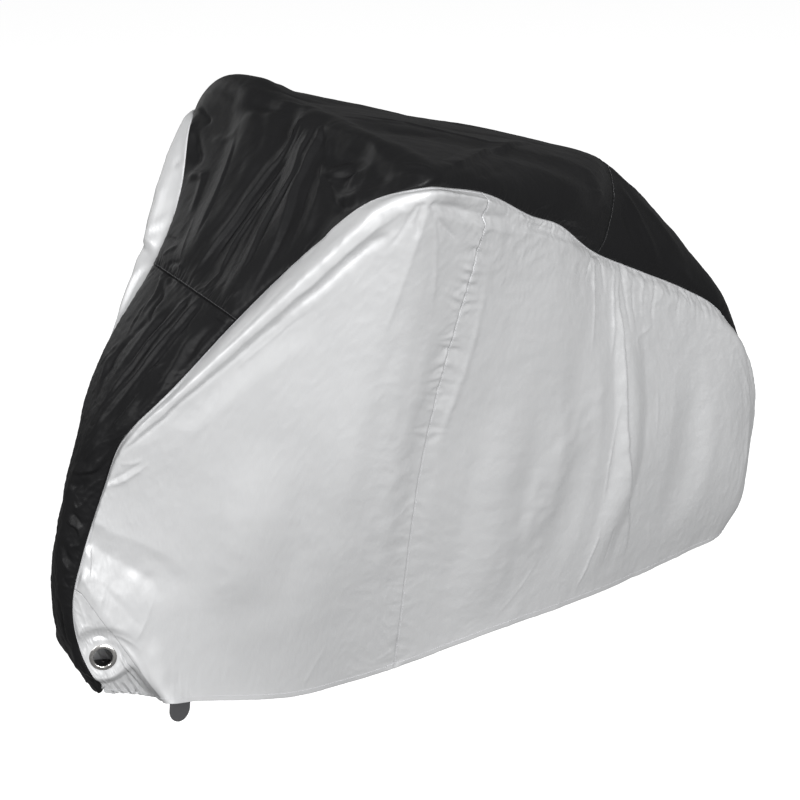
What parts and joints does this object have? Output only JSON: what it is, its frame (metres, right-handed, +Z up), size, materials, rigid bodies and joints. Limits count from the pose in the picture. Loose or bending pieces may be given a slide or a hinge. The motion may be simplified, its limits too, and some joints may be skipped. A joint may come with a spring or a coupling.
{
  "type": "bicycle cover",
  "caption": "Fitted outdoor bicycle cover with silver sides and a black strip over the top, hollow and open below, with a metal eyelet in each front corner.",
  "frame": {"origin": "underside of the cover at the middle of its front crest, where the bars of the bicycle below hold it up", "axes": "+Z up, +X from the front of the cover to its rear, -Y is the near side in the picture; the cover leans 2.5 degrees to that side"},
  "size_m": [1.6378, 0.7598, 1.0858],
  "materials": {
    "silver_cloth": "silver coated polyester taffeta, softly shiny, smooth with fine crumples",
    "black_cloth": "black coated polyester taffeta, softly shiny along its folds",
    "eyelet_metal": "nickel plated, polished",
    "black_webbing": "matt woven elastic and webbing"
  },
  "bodies": {
    "root": {"black_front": "black_cloth", "black_top": "black_cloth", "black_rear": "black_cloth", "flap_near": "silver_cloth", "side_front_near": "silver_cloth", "side_rear_near": "silver_cloth", "flap_far": "silver_cloth", "side_front_far": "silver_cloth", "side_rear_far": "silver_cloth", "eyelet_near": "eyelet_metal", "eyelet_far": "eyelet_metal", "elastic_near": "black_webbing", "elastic_far": "black_webbing", "tab_near": "black_webbing"}
  },
  "joints": []
}
